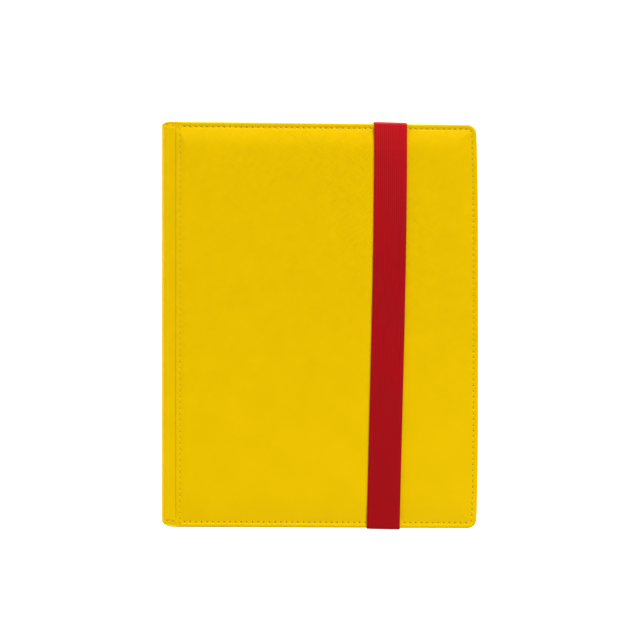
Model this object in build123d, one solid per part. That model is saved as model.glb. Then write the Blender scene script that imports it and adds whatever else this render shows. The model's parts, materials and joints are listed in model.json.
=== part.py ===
from build123d import *
import math
import os

# Trading card binder: two padded leatherette covers and a spine, twenty bound leaves of
# clear side-loading pockets, and an elastic strap that holds the binder shut.
#
# Frame, in millimetres: the binder lies shut on its back cover. +Z is up, out of the front
# cover. +Y is towards the top edge. The spine is at -X and the fore edge at +X. The origin is
# under the middle of the binder, on the surface that it lies on.

# --- driving dimensions ---------------------------------------------------------------------

cover_width = 246.0
cover_height = 315.0
binder_thickness = 30.0

# a cover, from the outside in
skin_thickness = 0.8
foam_thickness = 1.0
board_thickness = 1.6
lining_thickness = 0.6
fore_corner_radius = 7.0
spine_corner_radius = 3.0
hem_width = 6.0
lining_inset = 0.8

# the spine's leatherette laps this far onto each cover, under the folded edge of its panel
lap_width = 11.0

# topstitching: a row round each cover, and one through the lap along the hinge
stitch_inset = 4.0
lap_stitch_offset = 3.0
stitch_pitch = 4.4
thread_length = 3.5
corner_thread_length = 1.4
straight_enough = 0.9999
thread_width = 0.5
thread_thickness = 0.25
groove_width = 0.7
groove_depth = 0.35
row_end_gap = 6.0

# the spine wall between the covers, and the cloth strip that the leaves are bound to
spine_end_inset = 1.0
spine_gap = 0.15
binding_strip_thickness = 1.0
binding_end_gap = 0.4

# the leaves
leaf_count = 20
leaf_clearance = 0.3
leaf_height = 290.0
leaf_fore_gap = 8.0
sheet_thickness = 0.3
sheet_corner_radius = 3.0
stub_end_gap = 0.05
sheet_start_gap = 0.2

# a pocket holds one sleeved card of standard size, 63 by 88 mm
pocket_width = 67.0
pocket_height = 93.0
pocket_film = 0.25
pocket_columns = 3
pocket_rows = 3
weld_width = 2.5
pocket_margin = 3.0

# the elastic strap has slipped a little: it leans to the right at the top
strap_width = 25.4
strap_thickness = 1.2
strap_gap = 0.1
strap_centre_x = 52.2
strap_lean = 5.6
strap_seam_z = 1.4
strap_tab_length = 5.0
tab_play = 0.05

# --- worked out from them -------------------------------------------------------------------

cover_thickness = skin_thickness + foam_thickness + board_thickness + lining_thickness
spine_x = -cover_width / 2
fore_x = cover_width / 2
top_y = cover_height / 2
leaf_pitch = (binder_thickness - 2 * cover_thickness - 2 * leaf_clearance) / leaf_count
leaves_each_way = leaf_count // 2
board_top = cover_thickness - lining_thickness
lap_edge_x = spine_x + lap_width
strap_top_x = strap_centre_x + strap_lean / 2
strap_bottom_x = strap_centre_x - strap_lean / 2
middle_plane = Plane.XY.offset(binder_thickness / 2)


def block(low, high):
    """A box between two opposite corners."""
    size = [b - a for a, b in zip(low, high)]
    middle = [(a + b) / 2 for a, b in zip(low, high)]
    return Pos(*middle) * Box(*size)


def onto_front(part):
    """The same layer on the front cover, which mirrors the back one."""
    return mirror(part, about=middle_plane)


def save(part, node):
    """Write one node's solids as one STEP file."""
    os.makedirs("parts", exist_ok=True)
    part = Compound(label=node, children=list(part.solids()))
    export_step(part, f"parts/{node}.step")


# --- covers, drawn as the back cover lies ---------------------------------------------------


def cover_outline(inset):
    """A cover's outline moved inwards, with larger corners at the fore edge."""
    sheet = Rectangle(cover_width - 2 * inset, cover_height - 2 * inset)
    corners = sheet.vertices().sort_by(Axis.X)
    sheet = fillet(corners[2:], fore_corner_radius - min(inset, fore_corner_radius - 1))
    corners = sheet.vertices().filter_by_position(Axis.X, spine_x, spine_x + inset)
    return fillet(corners, spine_corner_radius - min(inset, spine_corner_radius - 1))


def layer(inset, low, high):
    """A flat layer of a cover between two heights."""
    return extrude(Pos(0, 0, low) * cover_outline(inset), amount=high - low)


def hinge_row_x():
    """The row of stitches through the lap, a little past the folded edge."""
    return lap_edge_x + lap_stitch_offset


def stitch_path():
    """The row of stitches round a cover: along one end, up the fore edge and back."""
    low_x = spine_x + stitch_inset
    high_x = fore_x - stitch_inset
    high_y = top_y - stitch_inset
    corners = [(low_x, -high_y), (high_x, -high_y), (high_x, high_y), (low_x, high_y)]
    return FilletPolyline(*corners, radius=fore_corner_radius - stitch_inset)


def hinge_path():
    """The straight row of stitches along the hinge."""
    reach = top_y - stitch_inset - row_end_gap
    return Line((hinge_row_x(), -reach), (hinge_row_x(), reach))


def threads(path):
    """The short lengths of thread that show between the needle holes, in their groove."""
    count = round(path.length / stitch_pitch)
    pitch = path.length / count
    by_length = PositionMode.LENGTH
    z = groove_depth - thread_thickness / 2
    found = []
    for step in range(count):
        middle = (step + 0.5) * pitch
        place = path.position_at(middle, by_length)
        way = path.tangent_at(middle, by_length)
        start = path.tangent_at(middle - thread_length / 2, by_length)
        end = path.tangent_at(middle + thread_length / 2, by_length)
        length = thread_length if start.dot(end) > straight_enough else corner_thread_length
        turn = math.degrees(math.atan2(way.Y, way.X))
        thread = Box(length, thread_width, thread_thickness)
        found.append(Pos(place.X, place.Y, z) * Rot(0, 0, turn) * thread)
    return found


def stitch_groove():
    """The shallow channels that the stitching pulls into the leatherette."""
    half = groove_width / 2
    outer = layer(stitch_inset - half, 0, groove_depth)
    inner = layer(stitch_inset + half, 0, groove_depth)
    row_start = spine_x + stitch_inset
    beside_spine = block(
        (spine_x, -top_y, 0), (row_start - half, top_y, groove_depth)
    )
    reach = top_y - stitch_inset - row_end_gap + thread_length / 2
    hinge = block(
        (hinge_row_x() - half, -reach, 0), (hinge_row_x() + half, reach, groove_depth)
    )
    # the ring has no run along the spine itself
    spine_run = block(
        (spine_x, -top_y + stitch_inset + half, 0),
        (row_start + half, top_y - stitch_inset - half, groove_depth),
    )
    return outer - inner - beside_spine - spine_run + hinge


def strap_slots():
    """The two gaps in the back cover's hem that hold the strap's sewn ends."""
    slots = []
    for end in (-1, 1):
        low_y, high_y = sorted((end * top_y, end * (top_y - strap_tab_length - tab_play)))
        reach = strap_width / 2 + tab_play
        slots.append(
            block(
                (strap_centre_x - reach, low_y, strap_seam_z - tab_play),
                (strap_centre_x + reach, high_y, strap_seam_z + strap_thickness + tab_play),
            )
        )
    return slots


def cover_leatherette():
    """The outer leatherette of a cover with its hem turned in round the board."""
    skin = layer(0, 0, board_top) - layer(hem_width, skin_thickness, board_top)
    return skin - stitch_groove()


def beside_lap(leatherette):
    """The part of the leatherette that belongs to the spine's lap."""
    return leatherette & block((spine_x, -top_y, 0), (lap_edge_x, top_y, cover_thickness))


def panel(leatherette):
    """The cover's own panel, from its folded edge to the fore edge."""
    return leatherette & block((lap_edge_x, -top_y, 0), (fore_x, top_y, cover_thickness))


def cover_foam():
    """The thin padding under the leatherette."""
    return layer(hem_width, skin_thickness, skin_thickness + foam_thickness)


def cover_board():
    """The stiff board of a cover."""
    return layer(hem_width, skin_thickness + foam_thickness, board_top)


def cover_lining():
    """The lining on the inside of a cover."""
    return layer(lining_inset, board_top, cover_thickness)


def cover_stitching():
    """All the stitches on the outside of a cover."""
    return Compound(children=threads(stitch_path()) + threads(hinge_path()))


# --- spine -----------------------------------------------------------------------------------


def spine_layer(depth, thickness, end_inset, gap):
    """A layer of the spine wall, from the outside in."""
    half_height = top_y - end_inset
    low = (spine_x + depth, -half_height, cover_thickness + gap)
    high = (spine_x + depth + thickness, half_height, binder_thickness - cover_thickness - gap)
    return block(low, high)


def spine_skin():
    """The leatherette over the spine, between its laps."""
    return spine_layer(0, skin_thickness, spine_end_inset, spine_gap)


def spine_board():
    """The stiff board in the spine."""
    return spine_layer(skin_thickness, board_thickness, hem_width, spine_gap)


def spine_hem():
    """The ends of the spine's leatherette, turned in over its board."""
    ends = spine_layer(skin_thickness, board_thickness, spine_end_inset, spine_gap)
    middle = spine_layer(skin_thickness, board_thickness, hem_width, spine_gap)
    return ends - middle


def spine_lining():
    """The lining on the inside of the spine."""
    depth = skin_thickness + board_thickness
    return spine_layer(depth, lining_thickness, spine_end_inset, spine_gap)


def binding_strip():
    """The cloth strip that the leaves are welded to, glued on the spine's lining."""
    depth = skin_thickness + board_thickness + lining_thickness
    end_inset = (cover_height - leaf_height) / 2
    return spine_layer(depth, binding_strip_thickness, end_inset, binding_end_gap)


# --- leaves ----------------------------------------------------------------------------------


def leaf_z(number):
    """The height of a leaf's middle in the shut binder; leaf 1 is under the front cover."""
    lowest_down = cover_thickness + leaf_clearance + (number - 0.5) * leaf_pitch
    return binder_thickness - lowest_down


def leaf_hinge_x(number):
    """The line that a leaf turns about. It is further from the spine towards the middle of
    the book, so that the turned leaves of each half lie flat on each other."""
    place = number if number <= leaves_each_way else leaf_count + 1 - number
    return spine_x + cover_thickness + leaf_clearance + (place - 0.5) * leaf_pitch


def leaf_stubs():
    """The short fixed margin of each leaf, from the binding strip to where it folds."""
    start = spine_x + skin_thickness + board_thickness + lining_thickness
    start += binding_strip_thickness
    stubs = []
    for number in range(1, leaf_count + 1):
        middle = leaf_z(number)
        low = (start, -leaf_height / 2, middle - sheet_thickness / 2)
        end = leaf_hinge_x(number) - stub_end_gap
        high = (end, leaf_height / 2, middle + sheet_thickness / 2)
        stubs.append(block(low, high))
    return Compound(children=stubs)


def leaf_sheet(number):
    """The opaque sheet in the middle of a leaf, with round corners at the fore edge."""
    start = leaf_hinge_x(number) + sheet_start_gap
    end = fore_x - leaf_fore_gap
    sheet = block(
        (start, -leaf_height / 2, leaf_z(number) - sheet_thickness / 2),
        (end, leaf_height / 2, leaf_z(number) + sheet_thickness / 2),
    )
    corners = sheet.edges().filter_by(Axis.Z).sort_by(Axis.X)[2:]
    return fillet(corners, sheet_corner_radius)


def leaf_pockets(number):
    """The clear pockets on both faces of a leaf, in rows and columns."""
    right = fore_x - leaf_fore_gap - pocket_margin - pocket_width / 2
    rows_high = pocket_rows * pocket_height + (pocket_rows - 1) * weld_width
    bottom = -rows_high / 2 + pocket_height / 2
    pockets = []
    for face in (-1, 1):
        z = leaf_z(number) + face * (sheet_thickness + pocket_film) / 2
        for column in range(pocket_columns):
            x = right - column * (pocket_width + weld_width)
            for row in range(pocket_rows):
                y = bottom + row * (pocket_height + weld_width)
                pockets.append(Pos(x, y, z) * Box(pocket_width, pocket_height, pocket_film))
    return Compound(children=pockets)


# --- strap -----------------------------------------------------------------------------------


def strap_ends():
    """The two ends of the strap, sewn into the back cover's hem."""
    tabs = []
    for end in (-1, 1):
        low_y, high_y = sorted((end * top_y, end * (top_y - strap_tab_length)))
        low = (strap_centre_x - strap_width / 2, low_y, strap_seam_z)
        high = (strap_centre_x + strap_width / 2, high_y, strap_seam_z + strap_thickness)
        tabs.append(block(low, high))
    return Compound(children=tabs)


def elastic_strap():
    """The band from the hem at the bottom, over the front cover, to the hem at the top."""
    half = strap_width / 2
    inner_y = top_y + strap_gap
    outer_y = inner_y + strap_thickness
    under = binder_thickness + strap_gap
    outline = [
        (strap_top_x - half, outer_y),
        (strap_top_x + half, outer_y),
        (strap_top_x + half, inner_y),
        (strap_bottom_x + half, -inner_y),
        (strap_bottom_x + half, -outer_y),
        (strap_bottom_x - half, -outer_y),
        (strap_bottom_x - half, -inner_y),
        (strap_top_x - half, inner_y),
    ]
    face = make_face(Polyline(*outline, close=True))
    strap = extrude(Pos(0, 0, under) * face, amount=strap_thickness)
    for end, upper_x in ((-1, strap_bottom_x), (1, strap_top_x)):
        side = [
            (strap_centre_x - half, strap_seam_z),
            (strap_centre_x + half, strap_seam_z),
            (upper_x + half, under),
            (upper_x - half, under),
        ]
        run = make_face(Plane.XZ * Polyline(*side, close=True))
        start_y = inner_y if end > 0 else -outer_y
        strap += extrude(Pos(0, start_y, 0) * run, amount=strap_thickness, dir=(0, 1, 0))
    return strap


# --- the assembly ----------------------------------------------------------------------------


def main():
    leatherette = cover_leatherette()
    back_leatherette = leatherette - strap_slots()
    save(panel(back_leatherette), "back_cover_skin")
    save(beside_lap(back_leatherette), "back_spine_lap")
    save(cover_foam(), "back_cover_foam")
    save(cover_board(), "back_cover_board")
    save(cover_lining(), "back_cover_lining")
    save(cover_stitching(), "back_cover_stitching")
    save(strap_ends(), "elastic_strap_ends")

    save(spine_skin(), "spine_skin")
    save(spine_hem(), "spine_hem")
    save(spine_board(), "spine_board")
    save(spine_lining(), "spine_lining")
    save(binding_strip(), "binding_strip")
    save(leaf_stubs(), "leaf_stubs")

    save(onto_front(panel(leatherette)), "front_cover_skin")
    save(onto_front(beside_lap(leatherette)), "front_spine_lap")
    save(onto_front(cover_foam()), "front_cover_foam")
    save(onto_front(cover_board()), "front_cover_board")
    save(onto_front(cover_lining()), "front_cover_lining")
    save(onto_front(cover_stitching()), "front_cover_stitching")

    save(elastic_strap(), "elastic_strap")

    for number in range(1, leaf_count + 1):
        save(leaf_sheet(number), f"leaf_{number:02d}_sheet")
        save(leaf_pockets(number), f"leaf_{number:02d}_pockets")


main()
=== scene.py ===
import json
import math
import random

import bmesh
import bpy
import numpy as np
from mathutils import Matrix, Vector
from mathutils.kdtree import KDTree


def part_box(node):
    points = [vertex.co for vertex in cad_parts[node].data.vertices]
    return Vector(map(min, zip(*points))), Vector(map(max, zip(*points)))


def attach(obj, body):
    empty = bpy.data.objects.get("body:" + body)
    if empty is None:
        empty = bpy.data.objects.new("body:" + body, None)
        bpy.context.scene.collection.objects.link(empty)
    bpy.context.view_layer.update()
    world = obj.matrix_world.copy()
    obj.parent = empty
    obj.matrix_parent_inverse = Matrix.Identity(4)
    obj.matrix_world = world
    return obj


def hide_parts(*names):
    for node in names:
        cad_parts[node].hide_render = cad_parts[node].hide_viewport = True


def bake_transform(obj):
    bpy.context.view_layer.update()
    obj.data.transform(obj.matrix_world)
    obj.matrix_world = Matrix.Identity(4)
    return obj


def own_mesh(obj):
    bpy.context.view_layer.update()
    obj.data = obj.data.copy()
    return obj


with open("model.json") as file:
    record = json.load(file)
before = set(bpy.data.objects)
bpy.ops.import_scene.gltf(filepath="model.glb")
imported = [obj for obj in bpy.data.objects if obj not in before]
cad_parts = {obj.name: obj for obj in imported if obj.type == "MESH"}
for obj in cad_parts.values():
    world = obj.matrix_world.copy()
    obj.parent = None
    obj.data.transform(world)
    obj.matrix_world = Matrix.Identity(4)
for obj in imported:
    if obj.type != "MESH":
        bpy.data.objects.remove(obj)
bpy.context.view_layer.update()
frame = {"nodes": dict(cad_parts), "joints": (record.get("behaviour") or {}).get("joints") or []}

# A trading card binder, shut, lying on its back cover. Lengths are in millimetres, in the frame
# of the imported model, and become metres when a mesh is made. Only the places of the camera and
# the lamps are written in metres.

mm = 0.001


def box_mm(node):
    """A CAD node's lowest and highest corners."""
    low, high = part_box(node)
    return np.array(low) / mm, np.array(high) / mm


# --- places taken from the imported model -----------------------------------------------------

panel_low, panel_high = box_mm("front_cover_skin")
lap_low = box_mm("front_spine_lap")[0]
board_high = box_mm("front_cover_board")[1]
lining_low, lining_high = box_mm("front_cover_lining")
strap_low, strap_high = box_mm("elastic_strap")
tab_low, tab_high = box_mm("elastic_strap_ends")
binding_high = box_mm("binding_strip")[1]
spine_lining_high = box_mm("spine_lining")[1]

spine_x = lap_low[0]
fold_x = panel_low[0]
fore_x = panel_high[0]
top_y = panel_high[1]
shut_z = panel_high[2]
middle_z = shut_z / 2
hem_under_z = panel_low[2]

strap_width = tab_high[0] - tab_low[0]
strap_half = strap_width / 2 + 0.2
strap_seam_x = (tab_low[0] + tab_high[0]) / 2
strap_lean_more = 0.3
strap_top_x = strap_high[0] - strap_half + strap_lean_more
strap_bottom_x = strap_low[0] + strap_half - strap_lean_more
strap_thick = 1.1

# --- sizes of the soft surfaces -------------------------------------------------------------

skin = 0.8
skived = 0.25
corner_radius = 7.0
fold_corner_radius = 1.0
edge_radius = 1.35
hem_top_z = shut_z - 1.15
row_z = shut_z - 1.35
pad_reach_top = 19.0
pad_reach_bottom = 28.0
hinge_reach = 7.0
fold_top_z = shut_z - 0.65
fold_row_z = shut_z - 0.85
lap_top_z = shut_z - 1.05
row_inset = 4.1
fold_row_inset = 3.2
row_drift = 1.0
drift_start_x = fold_x + 2.0
drift_length = 11.0
stitch_pitch = 4.4
hole_depth = 0.5
edge_hole_radius = 0.54
fore_hole_radius = 0.42
hinge_hole_radius = 0.36
rack_slope = 0.0074
fore_bulge = 0.8
fore_draw_in = 1.7
strap_dent = 0.5
strap_bow = 0.95
crown = 0.22
top_swell = 0.35
bottom_slack = 0.5
hem_roll = 2.0
fold_roll = 1.2
seam_softness = 0.12
row_start = 4.5
hinge_row_gap = 2.2
hinge_pitch = stitch_pitch * 1.03
station = 0.43
sharp_angle = 62


def smooth(t):
    t = np.clip(t, 0, 1)
    return t * t * (3 - 2 * t)


def soft_min(a, b, softness):
    """The smaller of two heights, with a soft change from one to the other."""
    return (a + b - np.sqrt((a - b) ** 2 + softness**2)) / 2


def distance_along(x, z):
    """How far along a path each of its points is."""
    return np.concatenate([[0], np.cumsum(np.hypot(np.diff(x), np.diff(z)))])


# --- making meshes --------------------------------------------------------------------------


class Surface:
    """Points and faces of one piece, joined up ring by ring."""

    def __init__(self):
        self.points = []
        self.faces = []
        self.total = 0

    def add(self, points):
        points = np.asarray(points, float).reshape(-1, 3)
        index = np.arange(self.total, self.total + len(points))
        self.points.append(points)
        self.total += len(points)
        return index

    def bridge(self, a, b):
        """Joins two closed rings, where one may have twice the other's points."""
        if len(a) < len(b):
            a, b = b, a
        a_next, b_next = np.roll(a, -1), np.roll(b, -1)
        if len(a) == len(b):
            self.faces += np.stack([a, a_next, b_next, b], 1).tolist()
            return
        start, between, end = a[0::2], a[1::2], np.roll(a[0::2], -1)
        self.faces += np.stack([start, between, b], 1).tolist()
        self.faces += np.stack([between, end, b_next], 1).tolist()
        self.faces += np.stack([between, b_next, b], 1).tolist()

    def sheet(self, index, closed=False):
        """Faces between the rows and columns of a grid of points."""
        if closed:
            index = np.concatenate([index, index[:, :1]], 1)
        quads = np.stack([index[:-1, :-1], index[:-1, 1:], index[1:, 1:], index[1:, :-1]], -1)
        self.faces += quads.reshape(-1, 4).tolist()

    def plate(self, top, low):
        """Two grids of points face to face, and the rim between them."""
        self.sheet(top)
        self.sheet(low)
        rims = [np.concatenate([grid[0, :-1], grid[:-1, -1], grid[-1, :0:-1], grid[:0:-1, 0]])
                for grid in (top, low)]
        self.bridge(*rims)

    def cap(self, ring):
        self.faces.append(ring.tolist())

    def all_points(self):
        return np.concatenate(self.points)


def make_piece(name, surface, material, cloth=None, needle=None):
    """A mesh object, its map of the cloth in millimetres, and how near each point is to a
    needle hole."""
    points = surface.all_points()
    mesh = bpy.data.meshes.new(name)
    mesh.from_pydata((points * mm).tolist(), [], surface.faces)
    mesh.validate()
    work = bmesh.new()
    work.from_mesh(mesh)
    bmesh.ops.recalc_face_normals(work, faces=work.faces)
    work.to_mesh(mesh)
    work.free()
    cloth = points[:, :2] if cloth is None else cloth
    corner = np.zeros(len(mesh.loops), np.int32)
    mesh.loops.foreach_get("vertex_index", corner)
    layer = mesh.uv_layers.new(name="cloth")
    layer.data.foreach_set("uv", cloth[corner].astype(np.float32).ravel())
    if needle is not None:
        mark = mesh.attributes.new("needle", "FLOAT", "POINT")
        mark.data.foreach_set("value", needle.astype(np.float32))
    mesh.polygons.foreach_set("use_smooth", [True] * len(mesh.polygons))
    mesh.set_sharp_from_angle(angle=math.radians(sharp_angle))
    mesh.materials.append(material)
    piece = bpy.data.objects.new(name, mesh)
    bpy.context.scene.collection.objects.link(piece)
    return piece


# --- outlines -------------------------------------------------------------------------------


def side_points(centre_a, radius_a, centre_b, radius_b, normal, count):
    """Evenly spaced points along half a corner, a straight side and half the next corner."""
    out = np.array([math.cos(normal), math.sin(normal)])
    start, end = centre_a + radius_a * out, centre_b + radius_b * out
    straight = np.linalg.norm(end - start)
    arc_a, arc_b = radius_a * math.pi / 4, radius_b * math.pi / 4
    along = (arc_a + straight + arc_b) * np.arange(count) / count
    angle_a = normal - math.pi / 4 + along / max(radius_a, 1e-9)
    angle_b = normal + (along - arc_a - straight) / max(radius_b, 1e-9)
    ring_a = centre_a + radius_a * np.stack([np.cos(angle_a), np.sin(angle_a)], 1)
    ring_b = centre_b + radius_b * np.stack([np.cos(angle_b), np.sin(angle_b)], 1)
    line = start + np.outer((along - arc_a) / straight, end - start)
    before = (along < arc_a)[:, None]
    after = (along > arc_a + straight)[:, None]
    return np.where(before, ring_a, np.where(after, ring_b, line))


def outline(low, high, radii, inset, counts):
    """A rounded rectangle moved inwards, anticlockwise from its lower left corner. counts
    are the steps along its width and its height."""
    low, high = np.array(low) + inset, np.array(high) - inset
    signs = np.array([(1, 1), (-1, 1), (-1, -1), (1, -1)], float)
    corners = [(low[0], low[1]), (high[0], low[1]), (high[0], high[1]), (low[0], high[1])]
    left = [max(radius - inset, 0.0) for radius in radii]
    centres = [np.array(corner) + sign * r for corner, sign, r in zip(corners, signs, left)]
    sides = []
    for k in range(4):
        after = (k + 1) % 4
        normal = (k - 1) * math.pi / 2
        count = counts[k % 2]
        sides.append(side_points(centres[k], left[k], centres[after], left[after], normal, count))
    return np.concatenate(sides)


# --- the shape of a cover -------------------------------------------------------------------


def row_offset(x):
    """How far the end rows drift upwards over the spine's lap."""
    return row_drift * smooth((drift_start_x - x) / drift_length)


def edge_inset(x, y):
    """The distance to a cover's nearest outer edge, with round corners at the fore edge."""
    right = fore_x - x
    end = top_y - np.abs(y)
    across, up = corner_radius - right, corner_radius - end
    corner = corner_radius - np.hypot(np.maximum(across, 0), np.maximum(up, 0))
    return np.where(np.maximum(across, up) > 0, corner, np.minimum(right, end))


def stitch_distance(x, y):
    """The distance from the edge row, less than nothing outside it."""
    return edge_inset(x, y - row_offset(x)) - row_inset


def strap_centre_x(y):
    """The middle of the strap across the front cover: it leans, and bows a little."""
    t = np.clip(0.5 + y / (2 * top_y), 0, 1)
    return strap_bottom_x + (strap_top_x - strap_bottom_x) * t + strap_bow * np.sin(math.pi * t**1.5)


def pad_profile(distance, low, high, reach):
    """Foam under leatherette: steep beside the stitches and flat further in."""
    s = np.clip(distance / reach, 0, 1)
    return low + (high - low) * (1 - (1 - s) ** 2.1)


def cover_height(x, y, soft):
    """The height of a cover's outer face, as on the front cover. soft is 1 on the front
    cover, and 0 on the back cover, which lies flat."""
    across = stitch_distance(x, y)
    pad_z = shut_z + soft * crown * np.cos(1.3 * x / fore_x) * np.cos(1.3 * y / top_y)
    pad_z = pad_z + soft * top_swell * smooth((y - 60) / 90)
    pad_z = pad_z - soft * bottom_slack * smooth(-(y + 40) / 110)
    hem = row_z + (hem_top_z - row_z) * smooth(-across / hem_roll)
    reach = pad_reach_bottom + (pad_reach_top - pad_reach_bottom) * smooth(0.5 + y / top_y)
    ends = np.where(across < 0, hem, pad_profile(across, row_z, pad_z, reach))
    beside = x - fold_x - fold_row_inset
    fold = fold_row_z + (fold_top_z - fold_row_z) * smooth(-beside / fold_roll)
    hinge = np.where(beside < 0, fold, pad_profile(beside, fold_row_z, pad_z, hinge_reach))
    height = soft_min(ends, hinge, seam_softness)
    inside = smooth(across / 10) * smooth(beside / 10)
    ripple = 0.05 * np.sin(x / 19 + 1.3) * np.sin(y / 27 + 0.4)
    ripple += 0.035 * np.sin(x / 9.5 + y / 14) * np.sin(y / 11 - x / 31 + 2.0)
    height = height + soft * inside * ripple
    from_strap = np.abs(x - strap_centre_x(y)) - strap_half
    dent = np.where(from_strap < 0, 1.0, np.exp(-np.maximum(from_strap, 0) / 3.0))
    return height - soft * strap_dent * dent * smooth(across / 3)


def warp(points, soft):
    """The front cover has racked a little against the spine, and bulges at the fore edge."""
    x, y = points[:, 0].copy(), points[:, 1].copy()
    points = points.copy()
    outwards = fore_bulge - fore_draw_in * (y / top_y) ** 4
    points[:, 0] += soft * outwards * smooth((x + 20) / (fore_x + 20))
    points[:, 1] -= soft * rack_slope * (x - spine_x)
    return points


def on_side(points, side):
    """Points made for the front cover, or mirrored onto the back cover."""
    points = points.copy()
    points[:, 2] = middle_z + side * (points[:, 2] - middle_z)
    return points


def settle(made, soft, side):
    """Racks a piece's points with its cover, and puts them on that cover's side."""
    made.points = [on_side(warp(made.all_points(), soft), side)]


def row_points(step):
    """Points along the edge row: in from the spine at the bottom, round, and back out."""
    low_x, high_x = spine_x + row_start, fore_x - row_inset
    high_y = top_y - row_inset
    radius = corner_radius - row_inset
    turn = np.linspace(-math.pi / 2, math.pi / 2, 33)
    centre_x = high_x - radius
    straight = np.linspace(low_x, centre_x, 80, endpoint=False)
    bottom = np.stack([straight, -high_y + row_offset(straight)], 1)
    top = np.stack([straight, high_y + row_offset(straight)], 1)[::-1]
    arc = np.stack([radius * np.cos(turn), radius * np.sin(turn)], 1)
    lower = arc[:17] + (centre_x, -high_y + radius)
    upper = arc[16:] + (centre_x, high_y - radius)
    return even(np.concatenate([bottom, lower, upper, top]), step)


def hinge_row_points(step):
    """Points along the row beside the fold."""
    reach = top_y - hinge_row_gap
    x = fold_x + fold_row_inset
    return even(np.array([(x, -reach), (x, reach)]), step)


def even(path, step):
    """The path again, in equal steps of about this length."""
    lengths = np.concatenate([[0], np.cumsum(np.linalg.norm(np.diff(path, axis=0), axis=1))])
    count = round(lengths[-1] / step)
    places = np.linspace(0, lengths[-1], count + 1)
    return np.stack([np.interp(places, lengths, path[:, k]) for k in range(2)], 1)


rows = [row_points(stitch_pitch), hinge_row_points(hinge_pitch)]
hole_radii = [edge_hole_radius] * len(rows[0]) + [hinge_hole_radius] * len(rows[1])
holes = KDTree(len(hole_radii))
for number, hole in enumerate(np.concatenate(rows)):
    if hole[0] < fold_x:
        hole_radii[number] = hinge_hole_radius
    if hole[0] > fore_x - row_inset - 0.5:
        hole_radii[number] = fore_hole_radius
    holes.insert((hole[0], hole[1], 0), number)
holes.balance()


def hole_nearness(x, y):
    """1 at a needle hole, falling to 0 beside it."""
    found = [holes.find((a, b, 0)) for a, b in zip(x.tolist(), y.tolist())]
    far = np.array([distance for _, _, distance in found])
    radius = np.array([hole_radii[number] for _, number, _ in found])
    return np.exp(-((far / radius) ** 2))


def panel_under_z(x):
    """The underside of the panel's leatherette: on the lap at its fold, then down to the hem."""
    return lap_top_z + (hem_under_z - lap_top_z) * smooth((x - fold_x - 0.5) / 5)


def cover_shell(low, high, radii, soft, side, name, material):
    """A panel of leatherette as it really is: over the padding, round the edge, and turned in
    on the inside of the cover."""
    coarse = [round((b - a) / (8 * station)) for a, b in zip(low, high)]
    counts = [8 * n for n in coarse]
    made = Surface()
    needles = []

    def thin(x):
        """The leatherette's thickness, pared down where it is turned under at the fold."""
        return skived + (skin - skived) * smooth((x - fold_x) / 6)

    def ring(inset, share, level):
        flat = outline(low, high, radii, inset, [round(n * share) for n in counts])
        x, y = flat[:, 0], flat[:, 1]
        near = hole_nearness(x, y) if share == 1 and inset < 8 else np.zeros(len(x))
        top = cover_height(x, y, soft) - hole_depth * near
        needles.append(near if level == "top" or isinstance(level, float) else near * 0)
        if isinstance(level, float):
            middle = (cover_height(x, y, soft) + panel_under_z(x)) / 2
            z = middle + level * np.abs(top - middle if level > 0 else middle - panel_under_z(x))
        else:
            z = {"top": top, "under": panel_under_z(x), "turned": panel_under_z(x) + thin(x),
                 "inner": top - thin(x)}[level]
        return made.add(np.stack([x, y, z], 1))

    inner_inset = 12.0
    fine = np.arange(7.4, edge_radius, -0.35)
    bend = np.linspace(90, -90, 13)
    plan = [(inner_inset, 1 / 8, "top"), (10.4, 1 / 4, "top"), (8.8, 1 / 2, "top")]
    plan += [(inset, 1, "top") for inset in fine]
    for angle in np.radians(bend):
        plan.append((edge_radius * (1 - math.cos(angle)), 1, float(math.sin(angle))))
    plan += [(2.2, 1 / 2, "under"), (3.2, 1 / 4, "under"), (4.2, 1 / 8, "under")]
    plan += [(5.4, 1 / 8, "under"), (5.4, 1 / 8, "turned"), (1.9, 1 / 8, "turned")]
    plan += [(inset, 1 / 8, "inner") for inset in (1.9, 3.2, 4.1, 5.6, 7.5, 9.5, inner_inset)]
    rings = [ring(*step) for step in plan]
    for a, b in zip(rings, rings[1:]):
        made.bridge(a, b)

    def middle(edge_ring, level):
        """The even grid inside the rings."""
        across, up = coarse
        xs = np.linspace(low[0] + inner_inset, high[0] - inner_inset, across + 1)
        ys = np.linspace(low[1] + inner_inset, high[1] - inner_inset, up + 1)
        gx, gy = np.meshgrid(xs[1:-1], ys[1:-1])
        z = cover_height(gx, gy, soft)
        if level == "inner":
            z = z - thin(gx)
        index = np.zeros((up + 1, across + 1), int)
        index[1:-1, 1:-1] = made.add(np.stack([gx, gy, z], -1)).reshape(up - 1, across - 1)
        index[0, :-1] = edge_ring[:across]
        index[:-1, -1] = edge_ring[across : across + up]
        index[-1, :0:-1] = edge_ring[across + up : 2 * across + up]
        index[:0:-1, 0] = edge_ring[2 * across + up :]
        made.sheet(index)
        needles.append(np.zeros(gx.size))

    middle(rings[0], "top")
    middle(rings[-1], "inner")
    flat = made.all_points()
    settle(made, soft, side)
    return make_piece(name, made, material, flat[:, :2], np.concatenate(needles))


# --- materials ------------------------------------------------------------------------------


# a wave texture of scale 1 repeats after this length
wave_repeat = 0.31416


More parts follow.
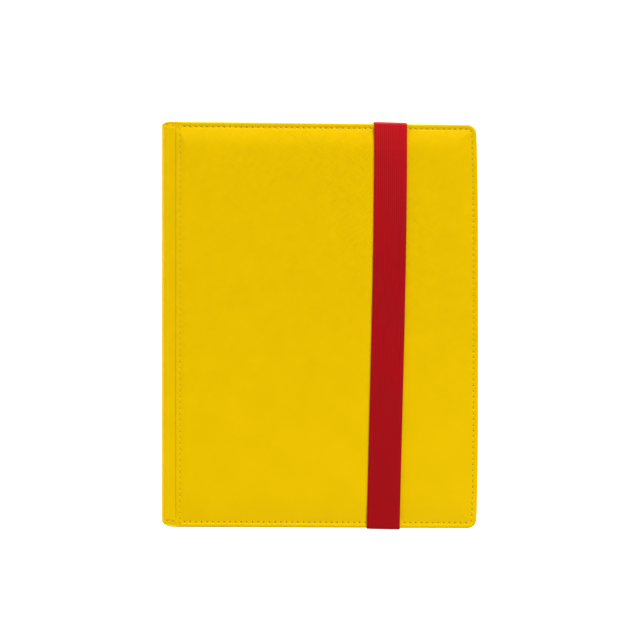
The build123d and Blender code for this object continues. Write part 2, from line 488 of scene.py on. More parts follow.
class Nodes:
    """A material's nodes, with short ways to add and link them."""

    def __init__(self, name):
        self.material = bpy.data.materials.new(name)
        self.material.use_nodes = True
        self.tree = self.material.node_tree
        self.shader = self.tree.nodes["Principled BSDF"]

    def new(self, kind, inputs=None, **settings):
        node = self.tree.nodes.new("ShaderNode" + kind)
        for key, value in settings.items():
            setattr(node, key, value)
        for key, value in (inputs or {}).items():
            if isinstance(value, bpy.types.NodeSocket):
                self.tree.links.new(value, node.inputs[key])
            else:
                node.inputs[key].default_value = value
        return node

    def math(self, operation, a, b=0.0, c=0.0):
        return self.new("Math", {0: a, 1: b, 2: c}, operation=operation).outputs[0]

    def cloth(self, scale=(1, 1, 1), turn=0.0, object_space=False):
        """Places on the cloth in millimetres, turned and then scaled."""
        if object_space:
            source = self.new("TexCoord").outputs["Object"]
            scale = tuple(s / mm for s in scale)
        else:
            source = self.new("UVMap", uv_map="cloth").outputs[0]
        place = self.new("Mapping", {"Vector": source})
        place.inputs["Rotation"].default_value = (0, 0, math.radians(turn))
        return self.new("Mapping", {"Vector": place.outputs[0], "Scale": scale}).outputs[0]

    def noise(self, vector, scale, detail=3.0, roughness=0.55, distortion=0.0):
        values = {"Vector": vector, "Scale": scale, "Detail": detail,
                  "Roughness": roughness, "Distortion": distortion}
        return self.new("TexNoise", values).outputs["Fac"]

    def bands(self, vector, pitch, distortion=0.0, detail=1.0, detail_scale=1.0):
        """Sine bands across the first direction, this far apart."""
        values = {"Vector": vector, "Scale": wave_repeat / pitch, "Distortion": distortion,
                  "Detail": detail, "Detail Scale": detail_scale}
        wave = self.new("TexWave", values, wave_type="BANDS", bands_direction="X")
        return wave.outputs["Fac"]

    def spread(self, value, low, high, out_low=0.0, out_high=1.0):
        """A value taken from one range to another, held at the ends."""
        values = {"Value": value, "From Min": low, "From Max": high,
                  "To Min": out_low, "To Max": out_high}
        return self.new("MapRange", values).outputs[0]

    def mix(self, share, a, b):
        node = self.new("Mix", data_type="RGBA")
        for socket, value in (("Factor", share), ("A", a), ("B", b)):
            found = [s for s in node.inputs if s.name == socket and s.enabled][0]
            if isinstance(value, bpy.types.NodeSocket):
                self.tree.links.new(value, found)
            else:
                found.default_value = value
        return [s for s in node.outputs if s.enabled][0]

    def set(self, **values):
        for key, value in values.items():
            socket = self.shader.inputs[key.replace("_", " ")]
            if isinstance(value, bpy.types.NodeSocket):
                self.tree.links.new(value, socket)
            else:
                socket.default_value = value

    def bump(self, height, depth_mm, strength=1.0):
        values = {"Height": height, "Distance": depth_mm * mm, "Strength": strength}
        return self.new("Bump", values).outputs["Normal"]


def shade(colour, share):
    return (colour[0] * share, colour[1] * share, colour[2] * share, 1.0)


def leatherette(name, colour, gloss, gleam, grain_pitch, depth):
    """Cross-grained leatherette: fine lines both ways along the diagonals, broken up, with painted
    shade in the lines. The painted shade and the bump both grow fainter towards the bottom."""
    n = Nodes(name)
    flat = n.cloth()
    upwards = n.new("SeparateXYZ", {0: flat}).outputs[1]
    crisp = n.spread(upwards, -95.0, 15.0, 0.2, 1.0)
    patch = n.noise(flat, 0.06, 2.0)
    lines = []
    for turn, low, high in ((45, 0.5, 1.0), (-45, 1.0, 0.5)):
        band = n.bands(n.cloth(turn=turn), grain_pitch, 1.5, 2.0, 1.1)
        streak = n.noise(n.cloth((1, 0.07, 1), turn), 1.25, 2.0, 0.5)
        sharp = n.spread(streak, 0.38, 0.64)
        both = n.math("MULTIPLY_ADD", sharp, 0.4, n.math("MULTIPLY", band, 0.6))
        share = n.spread(patch, 0.44, 0.54, low, high)
        lines.append(n.math("MULTIPLY", both, share))
    crossed = n.math("MULTIPLY", n.math("ADD", *lines), 0.75)
    fine = n.noise(flat, 2.2, 3.0, 0.6)
    height = n.math("MULTIPLY_ADD", fine, 0.3, crossed)
    cloud = n.noise(flat, 0.04, 3.0)
    light = n.mix(n.spread(cloud, 0.35, 0.65), shade(colour, 0.985), shade(colour, 1.015))
    # painted shade: the grain's lines are darkened in colour, less so towards the bottom
    sunk = n.math("MULTIPLY", n.spread(height, 0.2, 0.75, 1.0, 0.0), crisp)
    painted_grain_shade = n.mix(sunk, light, shade(colour, 0.8))
    # painted shade: the leatherette is darkened round each needle hole
    needle = n.new("Attribute", attribute_name="needle").outputs["Fac"]
    painted_hole_shade = (colour[0] * 0.2, colour[1] * 0.16, colour[2] * 0.1, 1.0)
    n.set(Base_Color=n.mix(n.spread(needle, 0.2, 0.7), painted_grain_shade, painted_hole_shade))
    n.set(Roughness=n.spread(height, 0.1, 1.2, gloss + 0.08, gloss - 0.05))
    pressed = n.math("MULTIPLY", height, crisp)
    n.set(Normal=n.bump(pressed, depth), IOR=1.45)
    n.set(Specular_IOR_Level=0.28, Specular_Tint=gleam)
    return n.material


def thread_material(name, colour):
    """Waxed sewing thread, twisted from two plies."""
    n = Nodes(name)
    ply = n.bands(n.cloth(turn=38), 0.45)
    # painted shade: the thread is darker in the grooves between its plies than on their crests
    n.set(Base_Color=n.mix(ply, shade(colour, 0.88), shade(colour, 1.06)))
    n.set(Roughness=n.spread(ply, 0.0, 1.0, 0.75, 0.6), Normal=n.bump(ply, 0.06))
    n.set(Specular_IOR_Level=0.25, Specular_Tint=(1.0, 1.0, 0.25, 1.0))
    return n.material


def elastic_material(name, colour):
    """Woven elastic: ribs lengthwise, cross threads over them, and a knitted edge. Its colour holds
    painted shade in the weave's hollows and towards the lower end, and a painted sheen towards the
    top.
    """
    n = Nodes(name)
    flat = n.cloth()
    split = n.new("SeparateXYZ", {0: flat})
    across, along = split.outputs[0], split.outputs[1]
    rib = n.bands(flat, rib_pitch)
    weft = n.bands(n.cloth(turn=-90), 0.62, 0.4, 1.0, 2.0)
    off_beat = n.bands(n.cloth(turn=-90), 1.3)
    edge = n.spread(n.math("ABSOLUTE", across), strap_half - 2.3, strap_half - 1.9)
    fuzz = n.noise(flat, 3.0, 4.0, 0.7)
    body = n.math("MULTIPLY_ADD", weft, 0.35, n.math("MULTIPLY", rib, 0.65))
    knit = n.math("MULTIPLY_ADD", off_beat, 0.8, 0.1)
    height = n.new("Mix", data_type="FLOAT")
    for socket, value in zip([s for s in height.inputs if s.enabled], (edge, body, knit)):
        n.tree.links.new(value, socket)
    level = [s for s in height.outputs if s.enabled][0]
    level = n.math("MULTIPLY_ADD", fuzz, 0.3, level)
    drift = n.noise(n.cloth(scale=(1, 0.15, 1)), 0.35, 3.0)
    tint = n.mix(n.spread(drift, 0.3, 0.7), shade(colour, 0.92), shade(colour, 1.12))
    # painted shade: the strap is darker towards its lower end
    tint_with_painted_shade = n.mix(n.spread(along, -150.0, -20.0), shade(colour, 0.86), tint)
    # painted sheen: the strap is paler towards its top end
    tint_with_painted_light = n.mix(n.spread(along, 50.0, 150.0), tint_with_painted_shade, shade(colour, 1.5))
    # painted shade: darker in the hollows of the ribs and cross threads
    n.set(Base_Color=n.mix(n.spread(level, 0.2, 0.95), shade(colour, 0.74), tint_with_painted_light))
    n.set(Roughness=0.55, Normal=n.bump(level, 0.06), Specular_IOR_Level=0.9)
    n.set(Specular_Tint=(1.0, 0.05, 0.07, 1.0))
    return n.material


def woven_material(name, colour, pitch, depth, roughness, object_space=False):
    """A plain weave, or the fine emboss of plastic sheet."""
    n = Nodes(name)
    warp_way = n.bands(n.cloth(object_space=object_space), pitch, 0.3)
    weft_way = n.bands(n.cloth(turn=-90, object_space=object_space), pitch, 0.3)
    height = n.math("MULTIPLY", warp_way, weft_way)
    cloud = n.noise(n.cloth(object_space=object_space), 0.08, 3.0)
    # painted shade: darker in the hollows of the weave or emboss, paler on its raised parts
    low, high = shade(colour, 0.7), shade(colour, 1.25)
    tone = n.mix(n.spread(height, 0.0, 1.0), low, high)
    n.set(Base_Color=n.mix(n.spread(cloud, 0.3, 0.7, 0.0, 0.25), tone, shade(colour, 1.5)))
    n.set(Roughness=n.spread(cloud, 0.3, 0.7, roughness - 0.05, roughness + 0.06))
    n.set(Normal=n.bump(height, depth), Specular_IOR_Level=0.3)
    return n.material


def board_material():
    """Grey board with fibres."""
    n = Nodes("grey_board")
    fibre = n.noise(n.cloth(scale=(0.25, 1, 1), object_space=True), 1.1, 5.0, 0.7)
    n.set(Base_Color=n.mix(fibre, (0.2, 0.18, 0.15, 1), (0.42, 0.39, 0.34, 1)))
    n.set(Roughness=0.88, Normal=n.bump(fibre, 0.08))
    return n.material


def film_material():
    """Clear pocket film: thin, glossy, with a faint haze and ripples."""
    n = Nodes("pocket_film")
    flat = n.cloth()
    ripple = n.noise(flat, 0.06, 2.0, 0.5, 0.6)
    scuff = n.noise(flat, 0.9, 4.0, 0.65)
    n.set(Base_Color=n.mix(n.spread(scuff, 0.4, 0.75), (0.6, 0.63, 0.67, 1), (0.85, 0.88, 0.92, 1)))
    n.set(Alpha=n.spread(scuff, 0.35, 0.8, 0.06, 0.13), Roughness=0.16, IOR=1.5)
    n.set(Normal=n.bump(ripple, 1.6, 0.5))
    return n.material


yellow = (0.845, 0.533, 0.0)
red = (0.395, 0.0042, 0.0072)
black = (0.012, 0.012, 0.013)
soft_black = (0.02, 0.02, 0.021)
yellow_gleam = (1.0, 1.0, 0.2, 1.0)
white_gleam = (1.0, 1.0, 1.0, 1.0)
rib_pitch = 1.6

leather = leatherette("yellow_leatherette", yellow, 0.34, yellow_gleam, 1.5, 0.13)
lining_leather = leatherette("black_lining", soft_black, 0.5, white_gleam, 0.8, 0.04)
thread = thread_material("yellow_thread", (0.9, 0.62, 0.004))
elastic = elastic_material("red_elastic", red)
sheet_plastic = woven_material("leaf_sheet", black, 0.55, 0.03, 0.5)
binding_cloth = woven_material("binding_cloth", (0.02, 0.02, 0.022), 0.5, 0.06, 0.8, True)
film = film_material()


# --- covers ---------------------------------------------------------------------------------

# each cover's name, its body, how far its shape is the soft one, and its side of the middle
covers = (("front", "front_cover", 1, 1), ("back", "back_cover", 0, -1))


def cover_panel(end, body, soft, side):
    low, high = (fold_x, -top_y), (fore_x, top_y)
    radii = (fold_corner_radius, corner_radius, corner_radius, fold_corner_radius)
    piece = cover_shell(low, high, radii, soft, side, f"{end}_cover_panel", leather)
    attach(piece, body)
    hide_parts(f"{end}_cover_skin", f"{end}_cover_foam")


for cover in covers:
    cover_panel(*cover)


# --- stitches -------------------------------------------------------------------------------

thread_radius = 0.24


def lap_height(x, y):
    """The outer face of the spine's lap, lower than the panel that is folded over it."""
    across = top_y - np.abs(y - row_offset(x)) - row_inset
    crease = 0.3 * np.exp(-(((x - fold_x + 0.3) / 0.6) ** 2))
    groove = 0.3 * np.exp(-((across / 0.8) ** 2)) + 0.35 * smooth(-across / hem_roll)
    return lap_top_z - np.maximum(groove, crease)


def outer_height(x, y, soft):
    return np.where(x < fold_x, lap_height(x, y), cover_height(x, y, soft))


def thread_surface(row, heights):
    """One short length of thread from each needle hole to the next."""
    made = Surface()
    cloth = []
    steps, around = 11, 8
    t = np.linspace(0, 1, steps)
    turn = np.linspace(0, 2 * math.pi, around, endpoint=False)
    bow = np.sin(math.pi * t)
    arch = bow**0.6
    sink = 0.9 * (1 - bow**0.5)
    for k in range(len(row) - 1):
        a, b = row[k], row[k + 1]
        line = a + np.outer(t, b - a)
        way = (b - a) / np.linalg.norm(b - a)
        rise = 0.12 - 0.16 * abs(way[0])
        z = heights[k] + (heights[k + 1] - heights[k]) * t + rise * arch - sink
        beside = np.array([-way[1], way[0]])
        radius = thread_radius * (0.75 + 0.25 * bow)
        ring_x = line[:, 0, None] + beside[0] * np.outer(radius, np.cos(turn)) * 1.15
        ring_y = line[:, 1, None] + beside[1] * np.outer(radius, np.cos(turn)) * 1.15
        ring_z = z[:, None] + np.outer(radius, np.sin(turn))
        index = made.add(np.stack([ring_x, ring_y, ring_z], -1)).reshape(steps, around)
        made.sheet(index, closed=True)
        made.cap(index[0])
        made.cap(index[-1])
        length = np.linalg.norm(b - a) * t
        u = np.repeat(length[:, None], around, 1)
        v = np.repeat((turn * thread_radius)[None], steps, 0)
        cloth.append(np.stack([u, v], -1).reshape(-1, 2))
    return made, np.concatenate(cloth)


def stitching(end, body, soft, side):
    for name, row in (("edge", rows[0]), ("hinge", rows[1])):
        heights = outer_height(row[:, 0], row[:, 1], soft)
        made, cloth = thread_surface(row, heights)
        settle(made, soft, side)
        piece = make_piece(f"{end}_{name}_stitching", made, thread, cloth)
        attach(piece, body)
        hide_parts(f"{end}_cover_stitching")


for cover in covers:
    stitching(*cover)


# --- the spine's leatherette ----------------------------------------------------------------

roll_radius = 3.6
roll_top_z = lap_top_z
lap_under_fold = 3.6
wrap_step = 0.4
spine_thick = 2.2
sewn_end = 9.0


def wrap_profile():
    """Half of the spine's leatherette seen from its end: up the spine, round the corner, and
    onto the cover, under the panel's fold. Each row is x, z and the way out, in x and z."""
    face = [(spine_x, z, -1, 0) for z in np.linspace(middle_z, roll_top_z - roll_radius, 9)]
    centre = (spine_x + roll_radius, roll_top_z - roll_radius)
    bend = []
    for angle in np.radians(np.linspace(180, 90, 13))[1:]:
        out = (math.cos(angle), math.sin(angle))
        place = [c + roll_radius * o for c, o in zip(centre, out)]
        bend.append((*place, *out))
    flat = [(x, min(roll_top_z, panel_under_z(x)), 0, 1)
            for x in np.arange(centre[0] + wrap_step, fold_x + lap_under_fold, wrap_step)]
    return np.array(face + bend + flat)


def wrap_depth(x, z):
    """The leatherette's depth at the spine's ends, and along its middle. The ends fill the hem
    past the cover's board, and the middle is only as thick as the skin over the cover."""
    over_spine = smooth((roll_top_z - roll_radius - z) / 4)
    over_cover = smooth((x - (spine_x + 6.5)) / 3)
    thick = np.where(x > fold_x, z - hem_under_z, roll_top_z - hem_under_z)
    ends = thick - (thick - spine_thick) * over_spine
    return ends, ends - (ends - skin) * over_cover


def wrap_end_y(x, sign):
    """The lap's ends are rounded off towards the spine, more so at the bottom."""
    cut, reach, power = (1.6, 6.0, 1.8) if sign > 0 else (3.1, 11.0, 2.5)
    s = np.clip((x - spine_x) / reach, 0, 1)
    return top_y - 0.1 - cut * (1 - s) ** power


def wrap_rows():
    """Places along the spine from -1 to 1, close together where the ends are sewn."""
    ends = np.linspace(0, sewn_end, 30) / top_y
    middle = np.linspace(-1 + ends[-1], 1 - ends[-1], 70)
    return np.concatenate([-1 + ends[:-1], middle, (1 - ends[:-1])[::-1]])


def spine_wrap(end, body, soft, side):
    profile = wrap_profile()
    x, z, out_x, out_z = profile.T
    depth, middle_depth = wrap_depth(x, z)
    along = distance_along(x, z)
    t = wrap_rows()
    made = Surface()
    needles, cloth = [], []
    loops = []
    bend = np.radians(np.linspace(75, -75, 9))
    for k in range(len(x)):
        high, low = wrap_end_y(x[k], 1), wrap_end_y(x[k], -1)
        y = np.where(t > 0, t * high, t * low)
        radius = min(edge_radius, depth[k] / 2)
        y_face = np.clip(y, -low + radius, high - radius)
        near = hole_nearness(np.full(len(y), x[k]), y_face) if out_z[k] > 0.99 else y * 0
        sunk = (lap_top_z - lap_height(x[k], y_face)) * (out_z[k] > 0.99) + hole_depth * near
        if x[k] > fold_x:
            sunk = y * 0
        # outer face, the end towards +y, inner face, the end towards -y
        outer = np.stack([y_face, -sunk], 1)
        top_end = np.stack([high - radius + radius * np.cos(bend),
                            -depth[k] / 2 + depth[k] / 2 * np.sin(bend)], 1)
        over_board = np.linspace(board_high[1], -board_high[1], 20)
        inner_y = np.concatenate([[high - radius, board_high[1] + 0.5], over_board,
                                  [-board_high[1] - 0.5, -low + radius]])
        inner_depth = np.where(np.abs(inner_y) > board_high[1], depth[k], middle_depth[k])
        inner = np.stack([inner_y, -inner_depth], 1)
        low_end = np.stack([-low + radius - radius * np.cos(bend[::-1]),
                            -depth[k] / 2 + depth[k] / 2 * np.sin(bend[::-1])], 1)
        loop = np.concatenate([outer, top_end, inner, low_end])
        loops.append(np.stack([x[k] + out_x[k] * loop[:, 1], loop[:, 0],
                               z[k] + out_z[k] * loop[:, 1]], 1))
        needles.append(np.concatenate([near, np.zeros(len(loop) - len(near))]))
        cloth.append(np.stack([np.full(len(loop), along[k]), loop[:, 0]], 1))
    index = made.add(np.concatenate(loops)).reshape(len(x), -1)
    made.sheet(index, closed=True)
    made.cap(index[0])
    made.cap(index[-1])
    settle(made, soft, side)
    piece = make_piece(f"{end}_spine_wrap", made, leather,
                       np.concatenate(cloth), np.concatenate(needles))
    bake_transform(piece)
    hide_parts(f"{end}_spine_lap", "spine_skin", "spine_hem")


for cover in covers:
    spine_wrap(*cover)


# --- elastic strap --------------------------------------------------------------------------

strap_bend = 1.45
strap_clear = 0.08
side_y = top_y + strap_clear + strap_thick / 2
corner_y = side_y - strap_bend - strap_thick / 2
corner_z = hem_top_z + strap_clear - strap_bend
picot_pitch = 1.5
picot_share = 0.009
strap_skew = 0.018
pad_end_y = 140.0
strap_lift_y = 135.0
tuck_bend = 0.85
tuck_z = (tab_low[2] + tab_high[2]) / 2
tuck_reach = 2.0


def strap_run_z(y):
    """The middle of the strap's thickness over the front cover: pulled straight across the
    sewn groove, from the padding to the hem."""
    over_pad = cover_height(strap_centre_x(y), np.clip(y, -pad_end_y, pad_end_y), 1)
    over_edge = np.clip((np.abs(y) - strap_lift_y) / (corner_y - strap_lift_y), 0, 1) ** 2
    over_hem = hem_top_z + strap_clear
    return over_pad + (over_hem - over_pad) * over_edge + strap_thick / 2


def strap_section():
    """The strap seen from its cut end: places across it, and their heights."""
    top_u = np.concatenate([[-0.995, -0.97, -0.93, -0.85, -0.80], np.linspace(-0.75, 0.75, 15),
                            [0.80, 0.85, 0.93, 0.97, 0.995]]) * strap_half
    half = strap_thick / 2
    selvedge = smooth((np.abs(top_u) - 0.76 * strap_half) / (0.1 * strap_half))
    ends = np.clip((np.abs(top_u) / strap_half - 0.9) / 0.1, 0, 1)
    top_w = half * (1 - 0.12 * selvedge) * np.sqrt(np.maximum(1 - ends**2 * 0.75, 0))
    low_u = np.linspace(0.995, -0.995, 9) * strap_half
    low_w = np.where(np.abs(low_u) > 0.9 * strap_half, -0.5 * half, -half)
    low_w[[0, -1]] = -0.5 * half
    return np.concatenate([top_u, low_u]), np.concatenate([top_w, low_w])


def strap_piece(name, path, out):
    """Sweeps the strap's section along a path: x, y, z and distance along, with the way its
    outer face looks in y and z."""
    u, w = strap_section()
    made = Surface()
    along = path[:, 3, None]
    edge = np.abs(u) / strap_half > 0.96
    wide = 1 + picot_share * np.cos(2 * math.pi * along / picot_pitch) * edge
    x = path[:, 0, None] + u * wide
    y = path[:, 1, None] + out[:, 0, None] * w
    z = path[:, 2, None] + out[:, 1, None] * w
    racked = np.clip((z - tab_low[2]) / (corner_z - tab_low[2]), 0, 1)
    y = y - racked * (rack_slope * (x - spine_x) + strap_skew * u)
    index = made.add(np.stack([x, y, z], -1)).reshape(len(path), len(u))
    made.sheet(index, closed=True)
    made.cap(index[0])
    made.cap(index[-1])
    cloth = np.stack([np.broadcast_to(u, x.shape), np.broadcast_to(along, x.shape)], -1)
    piece = make_piece(name, made, elastic, cloth.reshape(-1, 2))
    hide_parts("elastic_strap")
    return piece


def strap():
    step = 0.5
    y = np.linspace(-corner_y, corner_y, round(2 * corner_y / step) + 1)
    z = strap_run_z(y)
    slope = np.gradient(z, y)
    out = np.stack([-slope, np.ones(len(y))], 1) / np.hypot(slope, 1)[:, None]
    path = np.stack([strap_centre_x(y), y, z, y], 1)
    run = strap_piece("elastic_strap_run", path, out)
    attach(run, "strap")
    turn = np.radians(np.linspace(90, 0, 13))
    middle = strap_bend + strap_thick / 2
    for sign, name in ((1, "top"), (-1, "bottom")):
        bend_y = corner_y + middle * np.cos(turn)
        bend_z = corner_z + middle * np.sin(turn)
        down = np.arange(corner_z - step, tuck_z + tuck_bend, -step)
        under = -turn[::-1]
        tuck = np.array([side_y - tuck_bend, tuck_z + tuck_bend])
        under = tuck + tuck_bend * np.stack([np.cos(under), np.sin(under)], 1)
        end = [(top_y - tuck_reach, tuck_z)]
        side = np.concatenate([np.stack([bend_y, bend_z], 1),
                               np.stack([np.full(len(down), side_y), down], 1), under, end])
        facing = np.concatenate([turn, np.zeros(len(down)), -turn[::-1], [-math.pi / 2]])
        out = np.stack([np.cos(facing) * sign, np.sin(facing)], 1)
        gone = distance_along(*side.T)
        up = smooth((side[:, 1] - tab_low[2]) / (0.7 * (corner_z - tab_low[2])))
        end_x = strap_centre_x(sign * corner_y)
        x = strap_seam_x + (end_x - strap_seam_x) * up
        path = np.stack([x, sign * side[:, 0], side[:, 1], sign * (corner_y + gone)], 1)
        piece = strap_piece(f"elastic_strap_{name}_side", path, out)
        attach(piece, "back_cover")
        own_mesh(piece)


strap()


# --- linings --------------------------------------------------------------------------------


slab_step = 4.0
slab_rim = 4.0
soften = 0.2


def slab(low, high, radii, z_low, z_high):
    """A flat sheet with its edges rounded."""
    counts = [max(round((b - a) / slab_step), 2) for a, b in zip(low, high)]
    made = Surface()
    plan = [(slab_rim, z_high), (soften, z_high), (0.3 * soften, z_high - 0.3 * soften),
            (0, z_high - soften), (0, z_low + soften), (0.3 * soften, z_low + 0.3 * soften),
            (soften, z_low), (slab_rim, z_low)]
    rings = []
    for inset, z in plan:
        flat = outline(low, high, radii, inset, counts)
        rings.append(made.add(np.column_stack([flat, np.full(len(flat), z)])))
    for a, b in zip(rings, rings[1:]):
        made.bridge(a, b)
    made.cap(rings[0])
    made.cap(rings[-1])
    return made


lining_inset = 1.1
lining_band_x = spine_x + 9.0
band_thick = 0.55


def lining_panel(end, body, soft, side):
    low = (lining_band_x - 1.0, lining_low[1])
    high = (fore_x - lining_inset, lining_high[1])
    inner = corner_radius - lining_inset
    radii = (0.5, inner, inner, 0.5)
    made = slab(low, high, radii, lining_low[2], lining_high[2])
    flat = made.all_points()
    settle(made, soft, side)
    piece = make_piece(f"{end}_lining_panel", made, lining_leather, flat[:, :2])
    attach(piece, body)
    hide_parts(f"{end}_cover_lining")


def lining_band(end, body, soft, side):
    """The lining over the spine board and through the fold, onto the cover's lining."""
    inner_x = spine_lining_high[0]
    bend = 1.6
    top = lining_low[2] - 0.05
    up = [(inner_x, z, 1, 0) for z in np.linspace(middle_z, top - bend, 10)]
    turn = np.radians(np.linspace(180, 90, 9))[1:]
    arc = [(inner_x + bend + bend * math.cos(a), top - bend + bend * math.sin(a),
            -math.cos(a), -math.sin(a)) for a in turn]
    flat = [(x, top, 0, -1) for x in np.arange(inner_x + bend + 0.6, lining_band_x, 0.6)]
    x, z, out_x, out_z = np.array(up + arc + flat).T
    columns = 60
    y = np.linspace(-1, 1, columns) * (spine_lining_high[1] - 0.4)
    made = Surface()
    front, back = [], []
    for face, depth in ((front, 0.0), (back, band_thick)):
        for k in range(len(x)):
            row = np.stack([np.full(columns, x[k] - out_x[k] * depth), y,
                            np.full(columns, z[k] - out_z[k] * depth)], 1)
            face.append(made.add(row))
    front, back = np.array(front), np.array(back)
    loop = np.concatenate([front, back[:, ::-1]], 1)
    made.sheet(loop, closed=True)
    made.cap(loop[0])
    made.cap(loop[-1])
    flat_points = made.all_points()
    settle(made, soft, side)
    along = distance_along(x, z)
    cloth = np.stack([np.tile(np.repeat(along, columns), 2), flat_points[:, 1]], 1)
    piece = make_piece(f"{end}_lining_band", made, lining_leather, cloth)
    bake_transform(piece)
    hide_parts("spine_lining")


for cover in covers:
    lining_panel(*cover)
    lining_band(*cover)


def lining_stitching(end, body, soft, side):
    """The edge row again on the inside, where its thread lies on the lining."""
    row = rows[0][rows[0][:, 0] > lining_band_x]
    made, cloth = thread_surface(row, np.zeros(len(row)))
    points = made.all_points()
    points[:, 2] = lining_low[2] - points[:, 2]
    made.points = [points]
    settle(made, soft, side)
    piece = make_piece(f"{end}_lining_stitching", made, thread, cloth)
    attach(piece, body)
    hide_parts(f"{end}_cover_stitching")


for cover in covers:
    lining_stitching(*cover)


# --- leaves ---------------------------------------------------------------------------------

leaf_count = 20
pocket_columns = 3
pocket_rows = 3
pocket_gap = 2.5
film_thick = 0.07
notch_half = 10.0
notch_depth = 5.5
leaf_corner = 3.0
leaf_shift = 0.7


def leaf_sheet(body, number, z, thick, hinge_x, edge_x, half_y):
    """One leaf's middle sheet, from the binding strip to its fore edge, where its corners are
    drawn in a little. Its points are close together through the fold."""
    near = np.arange(binding_high[0], hinge_x + 3.0, 0.4)
    x = np.concatenate([near, np.linspace(near[-1] + 2.0, edge_x - 0.5, 24), [edge_x]])
    y = np.concatenate([[-half_y], np.linspace(-half_y + 0.5, half_y - 0.5, 30), [half_y]])
    gx, gy = np.meshgrid(x, y)
    pull = np.maximum(gx - (edge_x - leaf_corner), 0) / leaf_corner
    gy = gy * (1 - pull**2 * 0.5 * leaf_corner / half_y * (np.abs(gy) / half_y) ** 8)
    wave = 0.05 * np.sin(gx / 41 + number) * np.sin(gy / 37 + 2 * number)
    calm = smooth((gx - hinge_x - 4) / 30)
    level = z + wave * calm
    made = Surface()
    top = made.add(np.stack([gx, gy, level + thick / 2], -1)).reshape(gx.shape)
    low = made.add(np.stack([gx, gy, level - thick / 2], -1)).reshape(gx.shape)
    made.plate(top, low)
    return make_piece(f"{body}_page", made, sheet_plastic)


def pocket_films(low, high, z_centre, sheet_thick, room):
    """Eighteen clear pockets, nine on each face, open towards the spine with a thumb notch.
    Welded flat on the other three sides, and a little proud in the middle."""
    wide = (high[0] - low[0] - (pocket_columns - 1) * pocket_gap) / pocket_columns
    tall = (high[1] - low[1] - (pocket_rows - 1) * pocket_gap) / pocket_rows
    across = np.array([0, 0.012, 0.03, 0.1, 0.3, 0.6, 0.9, 0.97, 0.988, 1])
    up = np.concatenate([[0, 0.012, 0.03, 0.12, 0.25], 0.5 + np.linspace(-1.1, 1.1, 13)
                         * notch_half / tall, [0.75, 0.88, 0.97, 0.988, 1]])
    made = Surface()
    for face in (1, -1):
        for column in range(pocket_columns):
            for row in range(pocket_rows):
                x0 = low[0] + column * (wide + pocket_gap)
                y0 = low[1] + row * (tall + pocket_gap)
                s, t = np.meshgrid(across, up)
                from_middle = np.clip(np.abs(t - 0.5) * tall / notch_half, 0, 1)
                notch = notch_depth * np.sqrt(1 - from_middle**2) ** 1.3
                x = x0 + s * wide + notch * (1 - s) ** 3
                y = y0 + t * tall
                puff = smooth((1 - s) / 0.035) * smooth(t / 0.035) * smooth((1 - t) / 0.035)
                base = sheet_thick / 2 + 0.02 + puff * room
                outer = z_centre + face * (base + film_thick)
                inner = z_centre + face * base
                a = made.add(np.stack([x, y, outer], -1)).reshape(s.shape)
                b = made.add(np.stack([x, y, inner], -1)).reshape(s.shape)
                made.plate(a, b)
    return made


def leaf(number):
    body = f"leaf_{number:02d}"
    sheet_low, sheet_high = box_mm(f"{body}_sheet")
    film_low, film_high = box_mm(f"{body}_pockets")
    z = (sheet_low[2] + sheet_high[2]) / 2
    thick = sheet_high[2] - sheet_low[2]
    hinge = [joint for joint in frame["joints"] if joint["child"] == body][0]
    hinge_x = hinge["pos_m"][0] / mm
    shift = draw.uniform(-leaf_shift, leaf_shift)
    sheet = leaf_sheet(body, number, z, thick, hinge_x, sheet_high[0] + shift, sheet_high[1])
    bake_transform(sheet)
    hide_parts(f"{body}_sheet", "leaf_stubs")
    room = (film_high[2] - film_low[2] - thick) / 2 - film_thick - 0.06
    films = make_piece(f"{body}_pocket_films",
                       pocket_films(film_low, film_high, z, thick, room), film)
    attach(films, body)
    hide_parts(f"{body}_pockets")


draw = random.Random(7)
for number in range(1, leaf_count + 1):
    leaf(number)


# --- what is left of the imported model, inside the covers ------------------------------------

grey_board = board_material()
inside = {
    "front_cover_board": grey_board,
    "back_cover_board": grey_board,
    "spine_board": grey_board,
    "binding_strip": binding_cloth,
    "elastic_strap_ends": elastic,
}
for name, material in inside.items():
    node = frame["nodes"][name]
    node.data.materials.clear()
    node.data.materials.append(material)


# --- camera, light and floor ----------------------------------------------------------------


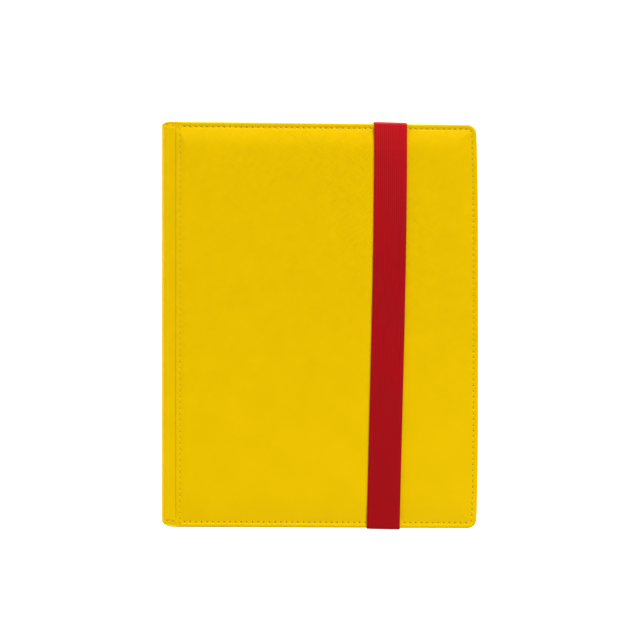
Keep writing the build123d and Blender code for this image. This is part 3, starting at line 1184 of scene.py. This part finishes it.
def camera():
    """Straight above, and a little towards the spine."""
    data = bpy.data.cameras.new("camera")
    data.lens = 100.0
    data.sensor_width = 36.0
    found = bpy.data.objects.new("camera", data)
    bpy.context.scene.collection.objects.link(found)
    place = Vector((-0.0405, 0.0032, 1.4112))
    aim = Vector((0.0000, 0.0032, shut_z * mm))
    back = (place - aim).normalized()
    right = Vector((1.0, 0.0, 0.0))
    up = back.cross(right).normalized()
    right = up.cross(back)
    axes = Matrix((right, up, back)).transposed()
    found.matrix_world = Matrix.Translation(place) @ axes.to_4x4()
    bpy.context.scene.camera = found


def lamp(name, place, size, power):
    """A flat light that faces the middle of the floor."""
    data = bpy.data.lights.new(name, "AREA")
    data.shape = "RECTANGLE"
    data.size, data.size_y = size
    data.energy = power
    found = bpy.data.objects.new(name, data)
    bpy.context.scene.collection.objects.link(found)
    found.location = place
    found.rotation_euler = (-found.location).to_track_quat("-Z", "Y").to_euler()


def floor():
    made = Surface()
    half = 3000.0
    z = -0.05
    corners = [(-half, -half, z), (half, -half, z), (half, half, z), (-half, half, z)]
    made.cap(made.add(np.array(corners)))
    n = Nodes("pale_floor")
    n.set(Base_Color=(0.7, 0.7, 0.7, 1), Roughness=0.9)
    n.set(Emission_Color=(1, 1, 1, 1), Emission_Strength=0.95)
    make_piece("floor", made, n.material)


def studio():
    """White walls round the object, and less light from straight above."""
    world = bpy.data.worlds.new("studio")
    world.use_nodes = True
    tree = world.node_tree
    place = tree.nodes.new("ShaderNodeTexCoord")
    split = tree.nodes.new("ShaderNodeSeparateXYZ")
    level = tree.nodes.new("ShaderNodeMapRange")
    level.inputs["To Min"].default_value = 0.42
    level.inputs["To Max"].default_value = 0.04
    tree.links.new(place.outputs["Generated"], split.inputs[0])
    tree.links.new(split.outputs["Z"], level.inputs["Value"])
    tree.links.new(level.outputs[0], tree.nodes["Background"].inputs["Strength"])
    tree.nodes["Background"].inputs["Color"].default_value = (1, 1, 1, 1)
    bpy.context.scene.world = world


camera()
floor()
studio()
lamp("key", (1.5, 4.2, 1.9), (2.2, 1.5), 340)
lamp("fill", (0.35, -0.75, 0.9), (0.9, 0.6), 4.6)
lamp("spine_side", (-2.0, 0.2, 0.2), (0.5, 2.0), 32)
bpy.context.scene.view_settings.view_transform = "Standard"
